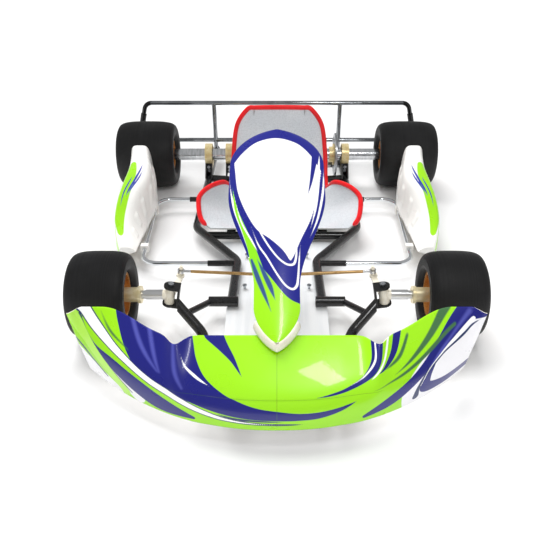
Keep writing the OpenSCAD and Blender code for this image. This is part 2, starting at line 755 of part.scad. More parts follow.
module shaft_supports() {
    top = shaft_foot + 322 * shaft_up;
    low = shaft_foot - 53 * shaft_up;
    color("#1b1b1d") kart() difference() {
        for (side = [LEFT, RIGHT]) on_side(side) {
            rod([48, 150, tray_z + tray_t + 3.5], top + [24, 0, 0], 16);
            translate([30, 135, tray_z + tray_t]) cube([36, 30, 5]);
            rod([30, low.y - 6, tray_z + tray_t + 3.5], low + [16, 0, 0], 12);
            translate([18, low.y - 18, tray_z + tray_t]) cube([24, 24, 5]);
        }
        shaft_frame() {
            translate([0, 0, 310 - eps]) cylinder(h = 60, d = 46 + 2 * eps);
            translate([0, 0, -62 - eps]) cylinder(h = 40, d = 40 + 2 * eps);
        }
    }
}

// Struts that hold the panel off the shaft bearing and off the front cross tube
module panel_bracket() {
    top = shaft_foot + 322 * shaft_up;
    color("#161617") kart() difference() {
        union() {
            rod(top, panel_point(0, 0.84) - [0, -3, 6], 12);
            rod([0, -284, rail_z + 8], panel_point(0, 0.09) - [0, 0, 8], 12);
        }
        shaft_frame() translate([0, 0, 300]) cylinder(h = 50, d = 46 + eps);
        rod([-100, -284, rail_z], [100, -284, rail_z], tube_d + eps);
    }
}

module tie_rod(side) {
    inner = drop_ball_mid + [drop_ball_x, 0, 0];
    go = unit(inner - arm_ball);
    color("#b98a3c") kart() on_side(side) {
        difference() {
            union() {
                rod(arm_ball - ball_axis * 5, arm_ball + ball_axis * 5, 22);
                rod(arm_ball + go * 8, arm_ball + go * 36, 10);
            }
            rod(arm_ball - ball_axis * 10, arm_ball + ball_axis * 10, 8 + 2 * fit);
        }
        rod(arm_ball + go * 30, inner - go * 34, 10);
        difference() {
            union() {
                rod(inner - shaft_up * 4.5, inner + shaft_up * 4.5, eye_bore + 9);
                rod(inner - go * 36, inner - go * 10, 10);
            }
            rod(inner - shaft_up * 12, inner + shaft_up * 12, eye_bore);
        }
    }
}

// ---- rear bumper ---------------------------------------------------------------------------------

bumper_y = 1318;
bumper_side = [632, bumper_y, 150];
upper_points = [bumper_side, [600, bumper_y, 276], [-600, bumper_y, 276], [-632, bumper_y, 150]];
lower_points = [bumper_side, [622, bumper_y, 100], [-622, bumper_y, 100], [-632, bumper_y, 150]];
upright_x = 288;

module rear_bumper_upper() { color("#d5d8db") kart() bent_tube(upper_points, 36, link_d); }

module rear_bumper_lower() { color("#d5d8db") kart() bent_tube(lower_points, 34, link_d); }

module rear_bumper_uprights() {
    color("#161617") kart() difference() {
        for (side = [LEFT, RIGHT]) on_side(side) {
            rod([upright_x, rail_end_y - 30, rail_z], [upright_x, bumper_y + 12, rail_z],
                tube_d - 2 * tube_wall - 1.6);
            rod([upright_x, bumper_y, rail_z], [upright_x, bumper_y, 276], link_d);
        }
        rod([-400, bumper_y, 276], [400, bumper_y, 276], link_d + eps);
        rod([-400, bumper_y, 100], [400, bumper_y, 100], link_d + eps);
    }
}

// Sleeves over the joints of the two tubes, and the caps behind the uprights
module rear_bumper_fittings() {
    leg = unit(upper_points[1] - upper_points[0]);
    color("#161617") kart() for (side = [LEFT, RIGHT]) on_side(side) {
        pipe(bumper_side + leg * 4, bumper_side + leg * 78, link_d + 6, 3 - fit);
        rod([upright_x, bumper_y + 12, rail_z], [upright_x, bumper_y + 16, rail_z], tube_d);
    }
}

// ---- brakes and pedals ---------------------------------------------------------------------------

caliper_turn = 36;

// Local frame at the disc's centre: +Y runs out to the middle of the pads, low behind the axle
module caliper_frame() {
    kart() translate([disc_x, wheelbase, rear_z]) rotate([-caliper_turn, 0, 0]) children();
}

module brake_caliper() {
    slot = disc_t / 2 + pad_gap + 7;
    color("#8d9095") {
        caliper_frame() difference() {
            translate([-25, 56, -34]) cube([50, 48, 68]);
            translate([-slot, 50, -40]) cube([2 * slot, 45, 80]);
        }
        kart() translate([disc_x + 14, wheelbase + 48, rail_z + tube_d / 2]) cube([34, 34, 8]);
    }
}

module brake_pads() {
    color("#3b3b3d") caliper_frame() for (side = [-1, 1])
        translate([side * (disc_t / 2 + pad_gap + 3.5) - 3.5, 58, -26]) cube([7, 28, 52]);
}

pedal_y = -284;
pedal_z = 84;
pedal_x = 108;

module pedal(side, pad_half) {
    color("#cfd2d6") kart() on_side(side) translate([pedal_x, pedal_y, pedal_z]) {
        difference() {
            union() {
                rotate([0, 90, 0]) cylinder(h = 24, d = 16, center = true);
                rod([0, 0, 0], [0, -6, 112], 12);
            }
            rotate([0, 90, 0]) cylinder(h = 40, d = 8 + 2 * fit, center = true);
        }
        rod([-pad_half, -6, 112], [pad_half, -6, 112], 14);
    }
}

// Ears on the front cross tube and the pins that the pedals turn on
module pedal_pivots() {
    color("#1b1b1d") kart() difference() {
        for (side = [LEFT, RIGHT]) on_side(side) translate([pedal_x, pedal_y, 0]) {
            for (x = [-18, 13]) translate([x, -10, rail_z + 8]) cube([5, 20, pedal_z - rail_z + 2]);
            rod([-21, 0, pedal_z], [21, 0, pedal_z], 8);
        }
        rod([-176, -284, rail_z], [176, -284, rail_z], tube_d + eps);
        bent_tube([[120, -284, 52], [120, -412, 70], [-120, -412, 70], [-120, -284, 52]], 40, link_d + 1, 0);
    }
}

// ---- what is drawn -------------------------------------------------------------------------------

frame_rail(LEFT);  // frame_rail_left
frame_rail(RIGHT);  // frame_rail_right
front_tube(LEFT);  // front_tube_left
front_tube(RIGHT);  // front_tube_right
front_cross_tube();
front_links();
seat_cross_tube();
rear_cross_tube();
kingpin_yoke(LEFT);  // kingpin_yoke_left
kingpin_yoke(RIGHT);  // kingpin_yoke_right
kingpin_bolts();
bearing_hangers();
bearing_carriers();
axle_bearings();
hanger_bolts();
side_bar_sockets();
side_bar(LEFT);  // side_bar_left
side_bar(RIGHT);  // side_bar_right
side_pod(LEFT);  // side_pod_left
side_pod(RIGHT);  // side_pod_right
floor_tray();
tray_studs();
seat_shell();
seat_edge_trim();
seat_stays();
front_bumper();
front_fairing();
front_panel();
panel_bracket();
shaft_supports();
shaft_bearing();
rear_bumper_upper();
rear_bumper_lower();
rear_bumper_uprights();
rear_bumper_fittings();
brake_caliper();
brake_pads();
pedal_pivots();
rear_axle();
rear_hub(LEFT);  // rear_hub_left
rear_hub(RIGHT);  // rear_hub_right
rear_rim(LEFT);  // rear_rim_left
rear_rim(RIGHT);  // rear_rim_right
rear_tyre(LEFT);  // rear_tyre_left
rear_tyre(RIGHT);  // rear_tyre_right
brake_disc();
disc_carrier();
stub_axle(LEFT);  // stub_axle_left
stub_axle(RIGHT);  // stub_axle_right
front_hub(LEFT);  // front_hub_left
front_hub(RIGHT);  // front_hub_right
front_rim(LEFT);  // front_rim_left
front_rim(RIGHT);  // front_rim_right
front_tyre(LEFT);  // front_tyre_left
front_tyre(RIGHT);  // front_tyre_right
steering_shaft();
tie_rod(LEFT);  // tie_rod_left
tie_rod(RIGHT);  // tie_rod_right
pedal(LEFT, 38);  // brake_pedal
pedal(RIGHT, 30);  // throttle_pedal
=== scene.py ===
from math import pi, radians

import bpy
import numpy as np
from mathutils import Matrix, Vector


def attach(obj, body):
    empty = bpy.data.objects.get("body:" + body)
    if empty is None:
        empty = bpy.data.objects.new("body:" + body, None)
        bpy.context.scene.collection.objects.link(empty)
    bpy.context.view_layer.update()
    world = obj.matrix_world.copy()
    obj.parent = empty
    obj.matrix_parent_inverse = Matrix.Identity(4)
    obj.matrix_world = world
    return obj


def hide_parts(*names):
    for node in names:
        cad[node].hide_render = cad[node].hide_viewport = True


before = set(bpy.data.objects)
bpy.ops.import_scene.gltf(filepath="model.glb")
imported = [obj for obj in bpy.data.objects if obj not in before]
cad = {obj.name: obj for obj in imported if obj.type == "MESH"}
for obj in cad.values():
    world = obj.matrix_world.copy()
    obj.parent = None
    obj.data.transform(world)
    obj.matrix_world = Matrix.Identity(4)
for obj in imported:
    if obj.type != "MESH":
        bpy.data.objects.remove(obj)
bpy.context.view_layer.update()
scene = bpy.context.scene
mm = 0.001
axleBack = -432.0  # the front axle line, in millimetres from the kart's middle


# small helpers


def softStep(low, high, x):
    # t * t * (3 - 2t), where t runs from 0 at low to 1 at high
    t = np.clip((x - low) / (high - low), 0, 1)
    return t * t * (3 - 2 * t)


def through(stations, t):
    # smooth value through rows of numbers; t runs from 0 at the first row to 1 at the last
    rows = np.array(stations, float)
    rows = rows.reshape(len(rows), -1)
    last = len(rows) - 1
    place = np.clip(np.asarray(t, float), 0, 1) * last
    i = np.minimum(place.astype(int), last - 1)
    f = (place - i)[..., None]
    a, b = rows[np.maximum(i - 1, 0)], rows[i]
    c, d = rows[i + 1], rows[np.minimum(i + 2, last)]
    return 0.5 * (2 * b + (c - a) * f + (2 * a - 5 * b + 4 * c - d) * f**2 + (3 * b - a - 3 * c + d) * f**3)


def unit(v):
    # a vector, or an array of vectors, brought to length 1
    return v / np.maximum(np.linalg.norm(v, axis=-1, keepdims=True), 1e-12)


def kartPoint(x, y, z):
    # millimetres from the front axle line to metres in the kart's frame
    return np.stack(np.broadcast_arrays(x, y + axleBack, z), axis=-1) * mm


def stepGrid(across, along, low=-1):
    # two parameters on a grid: the first runs from low to 1 across, the second from 0 to 1 along
    return np.meshgrid(np.linspace(low, 1, across + 1), np.linspace(0, 1, along + 1), indexing="ij")


def gridMesh(name, points, loopA=False, loopB=False, flip=False, fields=None):
    # four-sided faces between neighbouring points of a grid; a looped side closes on itself
    a, b = points.shape[:2]
    index = np.arange(a * b).reshape(a, b)
    if loopA:
        index = np.concatenate([index, index[:1]], axis=0)
    if loopB:
        index = np.concatenate([index, index[:, :1]], axis=1)
    corners = [index[:-1, :-1], index[1:, :-1], index[1:, 1:], index[:-1, 1:]]
    quads = np.stack(corners, axis=-1).reshape(-1, 4)
    if flip:
        quads = quads[:, ::-1]
    mesh = bpy.data.meshes.new(name)
    mesh.vertices.add(a * b)
    mesh.vertices.foreach_set("co", points.reshape(-1).astype(np.float32))
    mesh.loops.add(quads.size)
    mesh.loops.foreach_set("vertex_index", np.ascontiguousarray(quads).reshape(-1).astype(np.int32))
    mesh.polygons.add(len(quads))
    mesh.polygons.foreach_set("loop_start", (np.arange(len(quads)) * 4).astype(np.int32))
    mesh.polygons.foreach_set("use_smooth", np.ones(len(quads), bool))
    mesh.update(calc_edges=True)
    for key, values in (fields or {}).items():
        layer = mesh.attributes.new(key, "FLOAT", "POINT")
        layer.data.foreach_set("value", values.reshape(-1).astype(np.float32))
    mesh.validate()
    made = bpy.data.objects.new(name, mesh)
    scene.collection.objects.link(made)
    return made


def thickness(made, metres, secondMaterial=False):
    # gives a sheet its real thickness, inwards; the inner face can take the second material
    solid = made.modifiers.new("thickness", "SOLIDIFY")
    solid.thickness = metres
    solid.offset = -1
    solid.use_even_offset = True
    if secondMaterial:
        solid.material_offset = 1
        solid.material_offset_rim = 1


def sweep(name, path, radius, sides):
    # a round section carried along a path; side = direction x up, top = side x direction
    go = unit(np.gradient(path, axis=0))
    upright = np.abs(go[:, 2:3]) > 0.9  # where the path climbs steeply, +Y stands in for up
    upHint = np.where(upright, np.array([[0.0, 1.0, 0.0]]), np.array([[0.0, 0.0, 1.0]]))
    side = unit(np.cross(go, upHint))
    top = np.cross(side, go)
    angle = np.linspace(0, 2 * pi, sides, endpoint=False)[None, :, None]
    outwards = np.cos(angle) * side[:, None] + np.sin(angle) * top[:, None]
    return gridMesh(name, path[:, None] + radius[:, None, None] * outwards, loopB=True, flip=True)


def stroke(flat, path, halfWidths, steps=140):
    # millimetres inside (+) or outside (-) of a brush stroke: its half width less the distance to its line
    t = np.linspace(0, 1, steps)
    line = through(path, t)
    wide = through(halfWidths, t)[:, 0]
    best = np.full(flat.shape[:-1], -1e6)  # far outside
    for spot, half in zip(line, wide):
        best = np.maximum(best, half - np.hypot(flat[..., 0] - spot[0], flat[..., 1] - spot[1]))
    return best


def strokes(flat, scaleAcross, scaleAlong, rows):
    # the widest reach of several strokes, whose places are given across and along the piece
    reach = [
        stroke(flat, [(scaleAcross(a, b), scaleAlong * b) for a, b, _ in row], [w for _, _, w in row])
        for row in rows
    ]
    return np.max(reach, axis=0)


# materials


def linear(hexText):
    # sRGB hex to linear light: ((c + 0.055) / 1.055) ^ 2.4 above the knee
    c = np.array([int(hexText[i : i + 2], 16) for i in (1, 3, 5)]) / 255
    return (*np.where(c <= 0.04045, c / 12.92, ((c + 0.055) / 1.055) ** 2.4), 1.0)


def addNode(tree, kind, settings=None, inputs=None):
    # adds one node; inputs hold plain values or another node's output
    node = tree.nodes.new(kind)
    for key, value in (settings or {}).items():
        setattr(node, key, value)
    for key, value in (inputs or {}).items():
        if isinstance(value, bpy.types.NodeSocket):
            tree.links.new(value, node.inputs[key])
        else:
            node.inputs[key].default_value = value
    return node


def startMaterial(name):
    # an empty finish: the material, its node tree, its shader and the object's own coordinates
    made = bpy.data.materials.new(name)
    made.use_nodes = True
    tree = made.node_tree
    return made, tree, tree.nodes["Principled BSDF"], addNode(tree, "ShaderNodeTexCoord").outputs["Object"]


def mixColour(tree, factor, first, second):
    # first * (1 - factor) + second * factor
    return addNode(tree, "ShaderNodeMix", {"data_type": "RGBA"}, {0: factor, 6: first, 7: second}).outputs[2]


def between(tree, value, low, high, toLow=0.0, toHigh=1.0):
    # toLow below low, toHigh above high, and a smooth step from one to the other between them
    ranged = {"Value": value, "From Min": low, "From Max": high, "To Min": toLow, "To Max": toHigh}
    return addNode(tree, "ShaderNodeMapRange", {"interpolation_type": "SMOOTHSTEP"}, ranged).outputs[0]


def surface(name, look):
    # one finish: two tones by a broad noise, roughness and height by a fine one
    made, tree, shader, coords = startMaterial(name)
    stretch = look.get("stretch", (1, 1, 1))
    if "centre" in look:
        moved = addNode(tree, "ShaderNodeMapping", None, {"Vector": coords, "Location": look["centre"]})
        coords = moved.outputs[0]
    pulled = addNode(tree, "ShaderNodeMapping", None, {"Vector": coords, "Scale": stretch}).outputs[0]
    patches = {"Vector": pulled, "Scale": 1 / look["patch"], "Detail": 4}
    grains = {"Vector": pulled, "Scale": 1 / look["grain"], "Detail": 3}
    broad = addNode(tree, "ShaderNodeTexNoise", None, patches)
    fine = addNode(tree, "ShaderNodeTexNoise", None, grains)
    tone = between(tree, broad.outputs[0], 0.35, 0.65)
    shade = mixColour(tree, tone, linear(look["colour"]), linear(look["other"]))
    shader.inputs["Metallic"].default_value = look.get("metal", 0.0)
    if "beyond" in look:
        # another finish further out than this distance from the kart's middle plane: |x| > distance
        outX = addNode(tree, "ShaderNodeSeparateXYZ", None, {0: coords}).outputs[0]
        outX = addNode(tree, "ShaderNodeMath", {"operation": "ABSOLUTE"}, {0: outX}).outputs[0]
        edge = 0.5 * mm  # half the width of the change
        past = between(tree, outX, look["beyond"] - edge, look["beyond"] + edge)
        shade = mixColour(tree, past, shade, linear(look["outer"]))
        metal = between(tree, past, 0.0, 1.0, look.get("metal", 0.0), look["outerMetal"])
        tree.links.new(metal, shader.inputs["Metallic"])
    tree.links.new(shade, shader.inputs["Base Color"])
    rough = between(tree, fine.outputs[0], 0.3, 0.7, look["rough"][0], look["rough"][1])
    tree.links.new(rough, shader.inputs["Roughness"])
    height = fine.outputs[0]
    if "rings" in look:
        turned = {"wave_type": "RINGS", "rings_direction": "X", "wave_profile": "SIN"}
        rings = {"Vector": coords, "Scale": look["rings"], "Distortion": 0.6}
        height = addNode(tree, "ShaderNodeTexWave", turned, rings).outputs[1]
    relief = {"Height": height, "Strength": look["bump"], "Distance": look["deep"]}
    bumped = addNode(tree, "ShaderNodeBump", None, relief)
    tree.links.new(bumped.outputs[0], shader.inputs["Normal"])
    shader.inputs["Coat Weight"].default_value = look.get("coat", 0.0)
    shader.inputs["Coat Roughness"].default_value = look.get("coatRough", 0.05)
    return made


# each finish in real sizes: patch and grain in metres, deep is the height of the grain
finishes = {
    # gloss powder coat on steel tube: near black, soft reflections with a light orange peel
    "powderCoatGloss": dict(colour="#08080A", other="#0D0D10", patch=0.05, grain=0.0018, rough=(0.22, 0.32),
                            deep=0.00012, bump=0.25, coat=0.35, coatRough=0.08),
    # satin black on welded and machined fittings: dull edges, no mirror
    "satinBlackCoat": dict(colour="#09090A", other="#101011", patch=0.03, grain=0.0012, rough=(0.38, 0.5),
                           deep=0.0001, bump=0.3),
    # satin grey coat of the front hoops
    "satinGreyCoat": dict(colour="#2A2C2F", other="#36383B", patch=0.04, grain=0.0014, rough=(0.35, 0.48),
                          deep=0.0001, bump=0.3),
    # bright zinc plate on bolts, shaft and pedals: cool silver, slightly cloudy
    "zincPlate": dict(colour="#C9CDD2", other="#B4B9BF", patch=0.012, grain=0.0008, rough=(0.18, 0.34),
                      deep=0.00004, bump=0.2, metal=1.0),
    # chromium plate on bumpers and side bars: mirror with faint cleaning haze
    "chromePlate": dict(colour="#E3E6E9", other="#D6DADE", patch=0.06, grain=0.0025, rough=(0.03, 0.1),
                        deep=0.00002, bump=0.1, metal=1.0),
    # black side bar sockets; the clamps under the pods, further out, are white
    "socketBlack": dict(colour="#09090A", other="#101011", patch=0.03, grain=0.0012, rough=(0.38, 0.5),
                        deep=0.0001, bump=0.3, beyond=0.4, outer="#E9E7E2", outerMetal=0.0),
    # chrome of the rear bumper, darker in colour as painted dark reflections; its outer bends sit in black
    # sleeves
    "bumperChrome": dict(colour="#A5A8AB", other="#8B8E92", patch=0.06, grain=0.0025, rough=(0.05, 0.14),
                         deep=0.00002, bump=0.1, metal=1.0, beyond=0.575, outer="#0C0C0D", outerMetal=0.0),
    # orange gold tie rod tubes with silver rod ends at the wheels
    "goldTube": dict(colour="#D0AC78", other="#C29A62", patch=0.03, grain=0.0008, rough=(0.24, 0.34),
                     deep=0.00004, bump=0.2, metal=0.8, beyond=0.266, outer="#E4E5E7", outerMetal=1.0),
    # ivory epoxy on the kingpin barrels and steering arms, bare ground steel on the spindles
    "ivoryEpoxy": dict(colour="#F0EBDD", other="#E6DFCC", patch=0.02, grain=0.001, rough=(0.28, 0.38),
                       deep=0.00006, bump=0.25, beyond=0.334, outer="#DCDDDE", outerMetal=1.0),
    # front hubs: very pale champagne anodising
    "champagneAnodised": dict(colour="#F3E8C6", other="#E7D7A6", patch=0.018, grain=0.0007, rough=(0.3, 0.4),
                              deep=0.00004, bump=0.2, metal=0.6),
    # pale gold anodised aluminium: warm metal under a matt oxide skin
    "paleGoldAnodised": dict(colour="#F0DFAE", other="#E4CD92", patch=0.018, grain=0.0007, rough=(0.26, 0.38),
                             deep=0.00004, bump=0.2, metal=0.5),
    # bronze anodised aluminium of the rims and rear hubs
    "bronzeAnodised": dict(colour="#E8A860", other="#D8924C", patch=0.02, grain=0.0007, rough=(0.26, 0.38),
                           deep=0.00004, bump=0.2, metal=0.5),
    # ground bearing steel
    "groundSteel": dict(colour="#9A9DA2", other="#84878C", patch=0.015, grain=0.0006, rough=(0.22, 0.36),
                        deep=0.00003, bump=0.2, metal=1.0),
    # turned and polished axle tube: fine lines run round it
    "polishedAxleSteel": dict(colour="#E6E8EA", other="#D3D6D9", patch=0.05, grain=0.0016, rough=(0.12, 0.2),
                              deep=0.00001, bump=0.06, metal=1.0, stretch=(6, 1, 1)),
    # turned brake disc: rings round the axle, dark in the holes
    "turnedDiscSteel": dict(colour="#B9BCC0", other="#9EA1A5", patch=0.03, grain=0.0006, rough=(0.25, 0.4),
                            deep=0.00006, bump=0.35, metal=1.0, rings=420, centre=(0, -0.613, -0.139)),
    # bead blasted caliper body
    "blastedAluminium": dict(colour="#8D9095", other="#7B7E83", patch=0.01, grain=0.0005, rough=(0.4, 0.55),
                             deep=0.00008, bump=0.35, metal=1.0),
    # sintered brake lining
    "brakeLining": dict(colour="#39393B", other="#4A4642", patch=0.003, grain=0.0006, rough=(0.7, 0.9),
                        deep=0.0002, bump=0.5),
    # rolled aluminium floor sheet: long brushing lines, soft light reflections
    "rolledAluminium": dict(colour="#F2F4F6", other="#E8EBEE", patch=0.02, grain=0.0009, rough=(0.3, 0.42),
                            deep=0.00005, bump=0.2, metal=0.1, stretch=(1, 0.05, 1)),
    # white nylon bearing blocks: slightly waxy
    "whiteNylon": dict(colour="#F1EEE6", other="#E6E2D8", patch=0.015, grain=0.0008, rough=(0.36, 0.48),
                       deep=0.00006, bump=0.2),
    # gel coat over glass fibre, silver pigment: seat shell
    "silverGelCoat": dict(colour="#DDE1E5", other="#D3D8DD", patch=0.12, grain=0.003, rough=(0.24, 0.32),
                          deep=0.00006, bump=0.15, metal=0.15, coat=0.4, coatRough=0.08),
    # glass cloth and resin on the seat's back: rougher, slightly yellow grey
    "rawGlassFibre": dict(colour="#B7B8B4", other="#9FA19C", patch=0.012, grain=0.0012, rough=(0.5, 0.7),
                          deep=0.0004, bump=0.6),
    # soft PVC edge trim in red
    "redEdgeTrim": dict(colour="#F0101A", other="#E20C16", patch=0.03, grain=0.001, rough=(0.34, 0.46),
                        deep=0.0001, bump=0.25),
    # unpainted white ABS, inside of the bodywork: slightly cream where light comes through
    "plainWhiteAbs": dict(colour="#F0EBDF", other="#E4DDCD", patch=0.05, grain=0.0016, rough=(0.32, 0.46),
                          deep=0.0001, bump=0.25),
}
material = {name: surface(name, look) for name, look in finishes.items()}


def paintedPlastic(name, base, layers, look):
    # gloss ABS with a printed film: every layer is a float on the mesh, in millimetres inside its edge
    made, tree, shader, coords = startMaterial(name)
    shade = linear(base)
    for field, colour, soft in layers:
        inside = addNode(tree, "ShaderNodeAttribute", {"attribute_name": field}).outputs["Fac"]
        shade = mixColour(tree, between(tree, inside, -soft, soft), shade, linear(colour))
    patches = {"Vector": coords, "Scale": 1 / look["patch"], "Detail": 3}
    broad = addNode(tree, "ShaderNodeTexNoise", None, patches)
    worn = between(tree, broad.outputs[0], 0.3, 0.7, look["rough"][0], look["rough"][1])
    tree.links.new(shade, shader.inputs["Base Color"])
    tree.links.new(worn, shader.inputs["Roughness"])
    ripples = {"Vector": coords, "Scale": 1 / look["peel"], "Detail": 2}
    peel = addNode(tree, "ShaderNodeTexNoise", None, ripples)
    relief = {"Height": peel.outputs[0], "Strength": look["bump"], "Distance": look["deep"]}
    bumped = addNode(tree, "ShaderNodeBump", None, relief)
    tree.links.new(bumped.outputs[0], shader.inputs["Normal"])
    tree.links.new(bumped.outputs[0], shader.inputs["Coat Normal"])
    shader.inputs["Coat Weight"].default_value = look["coat"]
    shader.inputs["Coat Roughness"].default_value = look["coatRough"]
    return made


# in metres: patch is the size of the duller patches, peel and deep the size and height of the orange peel
paintLook = dict(patch=0.09, peel=0.006, deep=0.0002, bump=0.15, rough=(0.26, 0.36), coat=0.35,
                 coatRough=0.04)


def dress(made, body, slot, *materials):
    # materials on, riding on its body
    for one in materials:
        made.data.materials.append(one)
    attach(made, body)


# front fairing

# millimetres, but across and up are steps of the grid; dip is the notch beside the middle part
fairing = dict(across=420, up=84, thick=3.5, half=532, skin=215.0, noseY=-470, endBack=224, low=62,
               crease=2.2, topY=-297, wingBack=89, tipForward=30, topZ=214, wingUp=22, dip=34, dipX=248,
               dipWide=24, tuckIn=0.064, seamHalf=0.35, creaseHalf=0.3, creaseUp=0.476)


def fairingPoint(u, v):
    # u runs -1 to 1 across, v from 0 at the lower edge to 1 at the upper; the upper edge dips beside
    # the middle part, and a soft crease crosses the lower half
    x = np.abs(u) * fairing["half"]
    lowY = fairing["noseY"] + fairing["endBack"] * np.abs(u) ** 2.2
    dip = fairing["dip"] * np.exp(-(((x - fairing["dipX"]) / fairing["dipWide"]) ** 2))
    highY = fairing["topY"] + fairing["wingBack"] * softStep(250, 450, x) - dip
    highY = highY - fairing["tipForward"] * softStep(500, fairing["half"], x)
    highZ = fairing["topZ"] + fairing["wingUp"] * softStep(280, 450, x)
    # the section is a cubic curve: it first climbs, then runs back
    run = 0.3 * v**2 * (1 - v) + v**3
    rise = 1.35 * v * (1 - v) ** 2 + 1.65 * v**2 * (1 - v) + v**3
    crease = fairing["crease"] * (1 - softStep(0.3, 0.42, np.abs(u))) * (1 - softStep(0.465, 0.5, v))
    return kartPoint(
        fairing["half"] * u * (1 - fairing["tuckIn"] * (1 - rise)),
        lowY + (highY - lowY) * run + crease,
        fairing["low"] + (highZ - fairing["low"]) * rise,
    )


# every stroke is a row of (across, up, half width in millimetres)
fairingPaint = {
    "whiteEnds": [
        [(1.06, 1.05, 30), (0.97, 0.72, 34), (0.88, 0.42, 78), (0.80, 0.22, 104), (0.86, 0.02, 96)],
        [(-1.05, 0.36, 34), (-0.98, 0.14, 40), (-0.84, -0.04, 34)],
        [(-0.905, 0.60, 3), (-0.80, 0.34, 12), (-0.69, 0.10, 22)],
    ],
    "blue": [
        [(-0.60, 1.10, 95), (-0.56, 0.90, 92), (-0.49, 0.72, 68), (-0.40, 0.56, 46), (-0.30, 0.42, 36),
         (-0.20, 0.325, 28), (-0.10, 0.265, 21), (0.0, 0.237, 17), (0.10, 0.218, 13), (0.20, 0.228, 11.5),
         (0.30, 0.292, 7), (0.375, 0.39, 0)],
        [(0.965, 1.06, 27), (0.86, 0.83, 24), (0.76, 0.62, 19), (0.66, 0.42, 18), (0.54, 0.22, 19),
         (0.42, 0.08, 6)],
        [(0.455, 1.06, 15), (0.455, 0.85, 12), (0.41, 0.67, 8), (0.33, 0.57, 5), (0.25, 0.52, 3),
         (0.16, 0.49, 0)],
        [(0.565, 1.05, 11), (0.545, 0.88, 9), (0.51, 0.78, 6), (0.465, 0.72, 0)],
        [(-0.955, 0.92, 0), (-0.90, 0.60, 6), (-0.78, 0.40, 22), (-0.66, 0.26, 31), (-0.56, 0.16, 28),
         (-0.40, 0.07, 5)],
        [(-0.31, 1.06, 20), (-0.25, 0.94, 10), (-0.20, 0.84, 5), (-0.155, 0.70, 0)],
        # the row below runs down the right end and along its lower edge; its band along the lower edge is a
        # painted reflection of that edge, in dark blue
        [(0.765, 0.52, 3), (0.735, 0.34, 9), (0.735, 0.18, 17), (0.84, 0.11, 13), (1.0, 0.12, 12)],
    ],
    "haze": [
        [(-0.69, 1.02, 5), (-0.64, 0.84, 6), (-0.56, 0.66, 2)],
        [(-0.60, 1.02, 6), (-0.575, 0.82, 5), (-0.55, 0.66, 2)],
        [(-0.475, 1.0, 3), (-0.47, 0.75, 5), (-0.44, 0.54, 2)],
        [(0.93, 0.96, 6), (0.85, 0.76, 3), (0.79, 0.62, 5), (0.745, 0.50, 2)],
    ],
    "darkLines": [
        [(-0.945, 1.05, 15), (-0.885, 0.86, 17), (-0.80, 0.69, 15), (-0.70, 0.575, 13), (-0.60, 0.48, 13),
         (-0.50, 0.395, 13.5), (-0.40, 0.26, 11.5), (-0.30, 0.165, 9), (-0.20, 0.12, 6), (-0.08, 0.097, 4.5),
         (0.05, 0.092, 3.5), (0.15, 0.09, 0)],
        [(-0.955, 0.95, 2), (-0.91, 0.60, 3), (-0.83, 0.36, 3), (-0.72, 0.10, 2)],
        [(-1.0, 0.62, 3), (-0.95, 0.38, 4), (-0.86, 0.14, 3)],
        [(-0.30, 0.225, 0), (-0.20, 0.165, 3.5), (-0.05, 0.145, 2.5), (0.05, 0.14, 0)],
        [(0.985, 0.93, 0), (0.92, 0.74, 4), (0.80, 0.58, 4), (0.725, 0.42, 5), (0.69, 0.25, 5),
         (0.685, 0.09, 9)],
    ],
    "paleLime": [
        [(-0.985, 1.0, 10), (-0.94, 0.66, 14), (-0.87, 0.38, 15), (-0.76, 0.08, 15)],
    ],
    "greenGrey": [
        [(0.82, 1.03, 12), (0.74, 0.86, 9), (0.64, 0.72, 5), (0.55, 0.62, 0)],
        [(0.86, 0.86, 4), (0.73, 0.70, 6), (0.60, 0.59, 4.5), (0.45, 0.50, 0)],
        [(0.61, 0.94, 4), (0.575, 0.81, 5), (0.53, 0.75, 3), (0.495, 0.74, 0)],
        [(-0.85, 0.97, 0), (-0.80, 0.82, 3), (-0.71, 0.73, 1)],
    ],
    "white": [
        [(-0.945, 1.05, 12), (-0.885, 0.86, 14), (-0.80, 0.69, 12), (-0.70, 0.575, 10), (-0.60, 0.48, 10),
         (-0.50, 0.395, 10.5), (-0.40, 0.26, 8.5), (-0.30, 0.165, 6), (-0.20, 0.12, 3.2), (-0.08, 0.097, 1.8),
         (0.05, 0.092, 0.8), (0.12, 0.09, 0)],
        [(-0.445, 0.92, 0), (-0.42, 0.78, 2), (-0.37, 0.68, 3.2), (-0.305, 0.60, 0)],
        [(0.448, 1.0, 1.6), (0.448, 0.85, 2.2), (0.40, 0.68, 1.4), (0.32, 0.585, 0)],
        [(0.515, 1.04, 3), (0.495, 0.85, 3), (0.455, 0.71, 2), (0.43, 0.64, 0)],
        [(0.955, 0.90, 4), (0.885, 0.74, 6), (0.80, 0.60, 2.5), (0.735, 0.46, 1.5), (0.70, 0.25, 1)],
    ],
}
uu, vv = stepGrid(fairing["across"], fairing["up"])
# the skin laid flat, in millimetres across and from the lower to the upper edge
flat = np.stack([uu * fairing["half"], vv * fairing["skin"]], axis=-1)
fields = {
    key: strokes(flat, lambda a, b: a * fairing["half"], fairing["skin"], rows)
    for key, rows in fairingPaint.items()
}
